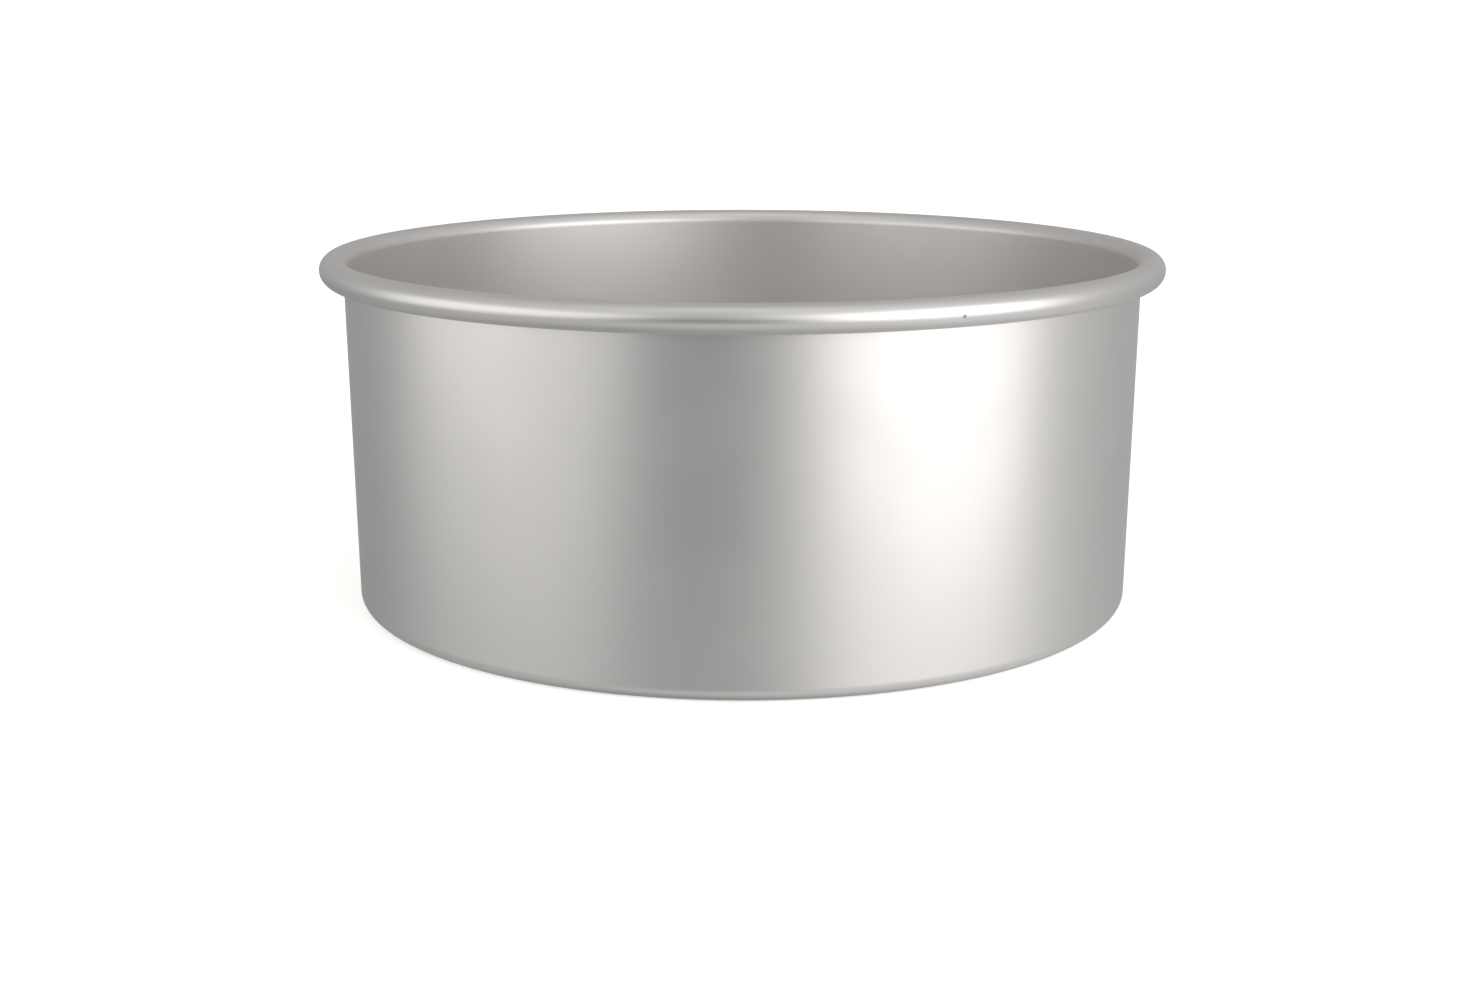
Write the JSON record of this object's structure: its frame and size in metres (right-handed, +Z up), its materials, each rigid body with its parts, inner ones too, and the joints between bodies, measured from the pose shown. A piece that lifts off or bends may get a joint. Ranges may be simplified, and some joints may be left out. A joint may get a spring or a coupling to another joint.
{
  "type": "cake pan",
  "caption": "Deep round cake pan in satin aluminium: a slightly flared wall with a rolled rim and a turned-in seat at the foot that carries a loose lift-out base.",
  "frame": {"origin": "on the pan's axis, in the plane that the pan stands on", "axes": "+Z up along the pan's axis; the pan is round, so X and Y may point anywhere in the standing plane"},
  "size_m": [0.244, 0.244, 0.1016],
  "materials": {
    "wall_aluminium": "satin anodised, fine even grain",
    "base_aluminium": "satin anodised, faintly turned and a little duller than the wall"
  },
  "bodies": {
    "wall": {"side_wall": "wall_aluminium"},
    "base": {"loose_base": "base_aluminium"}
  },
  "joints": [
    {"name": "base_lift", "type": "slide", "parent": "wall", "child": "base", "axis": [0, 0, 1], "range_m": [0, 0.11]}
  ]
}
